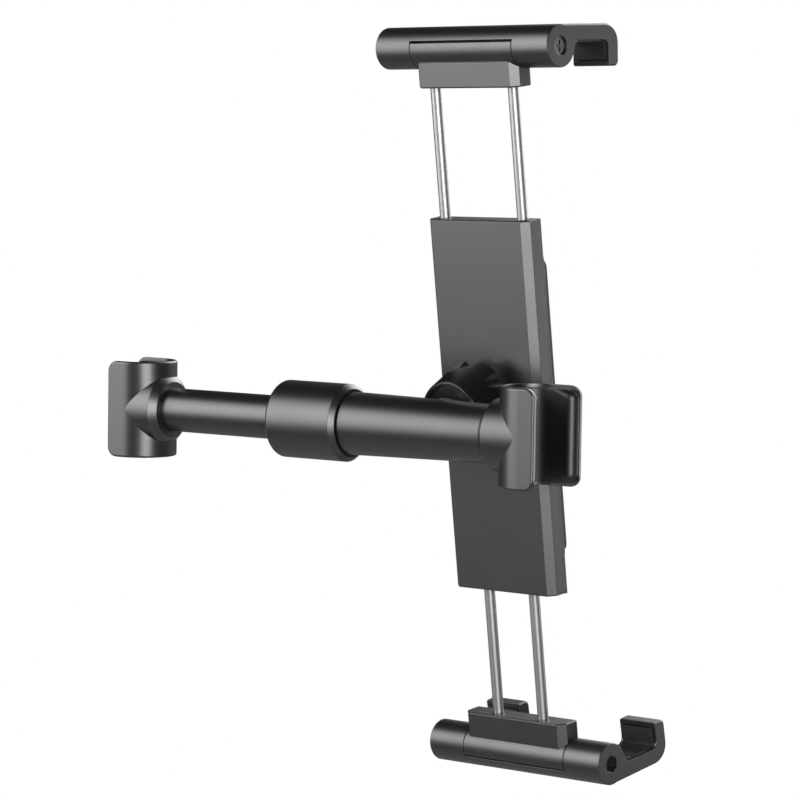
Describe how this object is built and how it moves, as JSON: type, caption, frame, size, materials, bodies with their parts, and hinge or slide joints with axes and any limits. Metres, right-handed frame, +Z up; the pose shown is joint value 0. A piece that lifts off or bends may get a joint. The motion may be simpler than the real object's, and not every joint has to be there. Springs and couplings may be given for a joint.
{
  "type": "headrest tablet mount",
  "caption": "Telescopic arm that braces between headrest posts and carries, on a lockable ball joint, a bracket whose rod-guided folding jaws clamp a tablet.",
  "frame": {"origin": "on the axis of the right headrest post, in the right hook's liner, at the height of the arm's axis", "axes": "+X along the arm from the left hook to the right hook, +Y from the arm to the tablet, +Z up along the headrest posts"},
  "size_m": [0.1556, 0.0882, 0.2216],
  "materials": {
    "arm_plastic": "satin moulded",
    "sleeve_plastic": "satin moulded",
    "inner_plastic": "matt moulded",
    "case_plastic": "satin moulded",
    "rubber": "matt",
    "rod_steel": "polished",
    "steel": "plain"
  },
  "bodies": {
    "arm": {"outer_arm": "arm_plastic", "right_liner": "rubber", "collet": "inner_plastic"},
    "sleeve": {"lock_sleeve": "sleeve_plastic"},
    "sliding_arm": {"inner_tube": "arm_plastic", "stop_ring": "inner_plastic", "left_hook": "arm_plastic", "left_liner": "rubber"},
    "ball": {"ball_stud": "inner_plastic"},
    "friction_pad": {"ball_pad": "inner_plastic"},
    "bracket": {"ball_socket": "inner_plastic", "socket_screws": "steel", "rear_case": "case_plastic", "front_cover": "inner_plastic", "cover_screws": "steel", "front_pad": "rubber", "upper_springs": "steel", "lower_springs": "steel"},
    "joint_nut": {"ball_nut": "sleeve_plastic"},
    "upper_clamp": {"upper_rods": "rod_steel", "upper_stops": "steel", "upper_carrier": "case_plastic"},
    "lower_clamp": {"lower_rods": "rod_steel", "lower_stops": "steel", "lower_carrier": "case_plastic"},
    "upper_jaw_group": {"upper_jaw": "case_plastic", "upper_jaw_rubber": "rubber", "upper_hinge_screw": "steel", "upper_hinge_nut": "steel"},
    "lower_jaw_group": {"lower_jaw": "case_plastic", "lower_jaw_rubber": "rubber", "lower_hinge_screw": "steel", "lower_hinge_nut": "steel"}
  },
  "joints": [
    {"name": "arm_extend", "type": "slide", "parent": "arm", "child": "sliding_arm", "axis": [-1, 0, 0], "range_m": [-0.015, 0.03]},
    {"name": "sleeve_twist", "type": "hinge", "parent": "arm", "child": "sleeve", "pos_m": [-0.06175, 0, 0], "axis": [1, 0, 0], "range_deg": [0, 180]},
    {"name": "ball_spin", "type": "hinge", "parent": "arm", "child": "ball", "pos_m": [-0.03615, 0.01733, 0.00278], "axis": [0, 1, 0], "continuous": true},
    {"name": "ball_tilt", "type": "hinge", "parent": "ball", "child": "friction_pad", "pos_m": [-0.03615, 0.01733, 0.00278], "axis": [0.9993, 0, 0.0368], "range_deg": [-18.5, 5.5]},
    {"name": "ball_pan", "type": "hinge", "parent": "friction_pad", "child": "bracket", "pos_m": [-0.03615, 0.01733, 0.00278], "axis": [-0.0366, -0.1132, 0.9929], "range_deg": [-4.74, 23.26]},
    {"name": "nut_twist", "type": "hinge", "parent": "bracket", "child": "joint_nut", "pos_m": [-0.03615, 0.01733, 0.00278], "axis": [0.1567, 0.9806, 0.1176], "range_deg": [0, 180]},
    {"name": "upper_clamp_slide", "type": "slide", "parent": "bracket", "child": "upper_clamp", "axis": [-0.0366, -0.1132, 0.9929], "range_m": [-0.036, 0.004], "deforming": ["upper_springs"]},
    {"name": "lower_clamp_slide", "type": "slide", "parent": "bracket", "child": "lower_clamp", "axis": [0.0366, 0.1132, -0.9929], "range_m": [-0.036, 0.004], "deforming": ["lower_springs"]},
    {"name": "upper_jaw_fold", "type": "hinge", "parent": "upper_clamp", "child": "upper_jaw_group", "pos_m": [-0.03721, 0.02276, 0.10861], "axis": [0.987, -0.1599, 0.0181], "range_deg": [-85, 5]},
    {"name": "lower_jaw_fold", "type": "hinge", "parent": "lower_clamp", "child": "lower_jaw_group", "pos_m": [-0.02957, 0.04642, -0.09891], "axis": [0.987, -0.1599, 0.0181], "range_deg": [-3.5, 86.5]}
  ]
}
